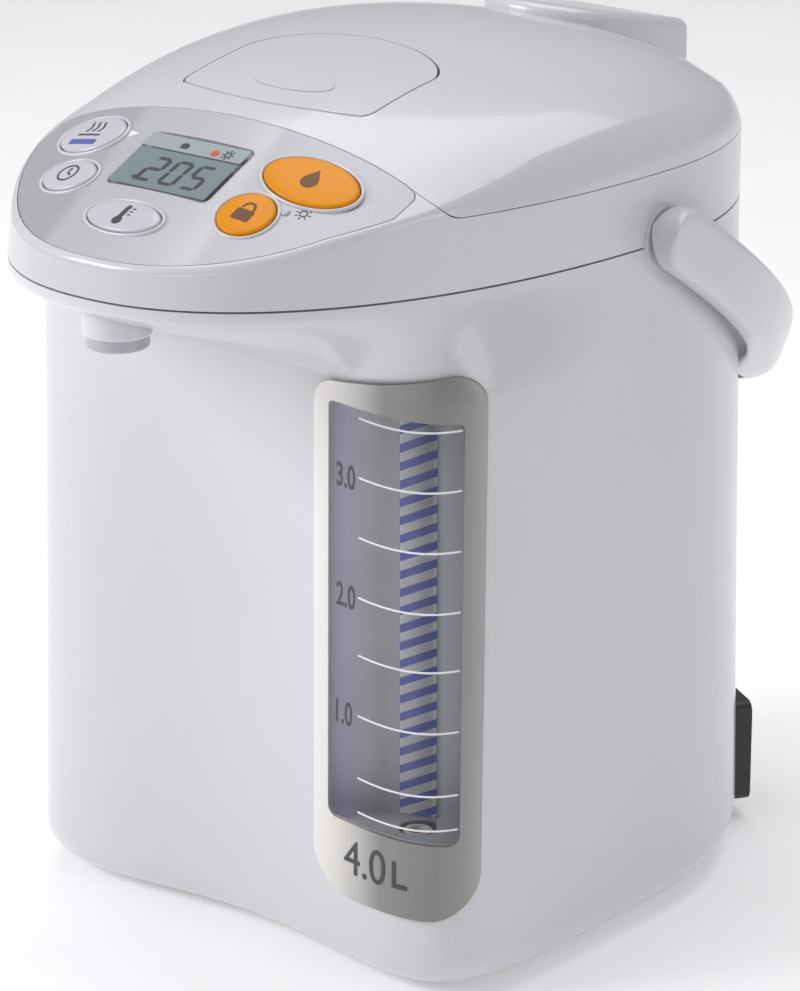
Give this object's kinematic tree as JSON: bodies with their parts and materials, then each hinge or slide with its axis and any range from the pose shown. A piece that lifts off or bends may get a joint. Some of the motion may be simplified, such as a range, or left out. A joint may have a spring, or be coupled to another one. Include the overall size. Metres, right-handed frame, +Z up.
{
  "type": "electric thermo pot",
  "caption": "Electric water boiler and warmer with a hinged domed lid, beak-shaped control panel, spout, level window and bail handle.",
  "frame": {"origin": "on the surface the pot stands on, below the axis of the inner pot", "axes": "+Z up, spout and control panel towards -Y, lid hinge towards +Y"},
  "size_m": [0.2364, 0.3272, 0.314],
  "materials": {
    "white_shell": "glossy injection-moulded white plastic",
    "panel_silver": "satin silver-grey panel sheet",
    "button_orange": "glossy orange button cap",
    "button_pale": "glossy pale grey-white button cap",
    "clear_window": "clear polished cover",
    "champagne_frame": "satin champagne metal-look trim",
    "display_grey": "grey-green display glass",
    "board_green": "green circuit board laminate",
    "inner_grey": "grey inner plastic",
    "gauge_clear": "clear gauge tube",
    "gauge_stripes": "blue and white striped strip",
    "pot_steel": "brushed stainless steel",
    "soft_seal": "soft grey silicone rubber",
    "black_plastic": "black moulded plastic",
    "dark_rubber": "dark rubber",
    "motor_steel": "plated motor can",
    "ring_grey": "translucent grey plastic ring",
    "brass_pins": "bright contact metal"
  },
  "bodies": {
    "pot": {"outer_case": "white_shell", "upper_collar": "white_shell", "control_panel": "panel_silver", "window_frame": "champagne_frame", "window_lens": "clear_window", "display_lens": "clear_window", "display_module": "display_grey", "control_board": "board_green", "button_switches": "black_plastic", "dispense_lamp": "display_grey", "spout": "white_shell", "spout_ring": "ring_grey", "delivery_hose": "soft_seal", "spout_hose": "soft_seal", "gauge_tube": "gauge_clear", "gauge_tray": "inner_grey", "gauge_strip": "gauge_stripes", "inner_pot": "pot_steel", "mouth_gasket": "soft_seal", "pot_cradle": "inner_grey", "heater_plate": "motor_steel", "thermistor": "motor_steel", "thermal_fuse": "board_green", "pump_housing": "inner_grey", "pump_motor": "motor_steel", "motor_mount": "inner_grey", "outlet_filter": "pot_steel", "base_plate": "inner_grey", "rubber_feet": "dark_rubber", "base_screws": "pot_steel", "power_board": "board_green", "inlet_housing": "black_plastic", "inlet_magnet_plate": "motor_steel", "inlet_pins": "brass_pins", "hinge_pin": "pot_steel"},
    "lid": {"lid_cover": "white_shell", "lid_inner_plate": "inner_grey", "lid_seal": "soft_seal", "inner_lid_cover": "pot_steel", "steam_valve": "inner_grey", "lever_pins": "pot_steel"},
    "lever": {"lid_lever": "white_shell"},
    "bolt": {"latch_bolt": "inner_grey"},
    "handle": {"handle": "white_shell"},
    "rotor": {"drive_magnet": "motor_steel"},
    "impeller": {"impeller": "inner_grey"},
    "button_dispense": {"button_dispense": "button_orange"},
    "button_unlock": {"button_unlock": "button_orange"},
    "button_reboil": {"button_reboil": "button_pale"},
    "button_timer": {"button_timer": "button_pale"},
    "button_temp_set": {"button_temp_set": "button_pale"}
  },
  "joints": [
    {"name": "lid_hinge", "type": "hinge", "parent": "pot", "child": "lid", "pos_m": [0, 0.111, 0.285], "axis": [-1, 0, 0], "range_deg": [0, 85]},
    {"name": "lever_hinge", "type": "hinge", "parent": "lid", "child": "lever", "pos_m": [0, -0.05, 0.30839], "axis": [-1, 0, 0], "range_deg": [0, 15], "stiffness_Nm_per_rad": 0.15, "springref_deg": -17.19},
    {"name": "bolt_slide", "type": "slide", "parent": "lid", "child": "bolt", "axis": [0, 1, 0], "range_m": [0, 0.005]},
    {"name": "handle_pivot", "type": "hinge", "parent": "pot", "child": "handle", "pos_m": [0, -0.0055, 0.2535], "axis": [1, 0, 0], "range_deg": [0, 135]},
    {"name": "rotor_spin", "type": "hinge", "parent": "pot", "child": "rotor", "pos_m": [0, -0.058, 0.02], "axis": [0, 0, 1], "continuous": true},
    {"name": "impeller_spin", "type": "hinge", "parent": "pot", "child": "impeller", "pos_m": [0, -0.058, 0.04], "axis": [0, 0, 1], "continuous": true},
    {"name": "press_dispense", "type": "slide", "parent": "pot", "child": "button_dispense", "axis": [-0.1772, 0.4157, -0.8921], "range_m": [0, 0.0008], "stiffness_N_per_m": 900},
    {"name": "press_unlock", "type": "slide", "parent": "pot", "child": "button_unlock", "axis": [-0.1324, 0.4525, -0.8819], "range_m": [0, 0.0008], "stiffness_N_per_m": 900},
    {"name": "press_reboil", "type": "slide", "parent": "pot", "child": "button_reboil", "axis": [0.1852, 0.4128, -0.8918], "range_m": [0, 0.0008], "stiffness_N_per_m": 900},
    {"name": "press_timer", "type": "slide", "parent": "pot", "child": "button_timer", "axis": [0.1416, 0.4524, -0.8805], "range_m": [0, 0.0008], "stiffness_N_per_m": 900},
    {"name": "press_temp_set", "type": "slide", "parent": "pot", "child": "button_temp_set", "axis": [0.0056, 0.4392, -0.8984], "range_m": [0, 0.0008], "stiffness_N_per_m": 900}
  ],
  "couplings": [
    {"joint": "bolt_slide", "follows": "lever_hinge", "m_per_rad": 0.019079},
    {"joint": "impeller_spin", "follows": "rotor_spin", "ratio": 1}
  ]
}
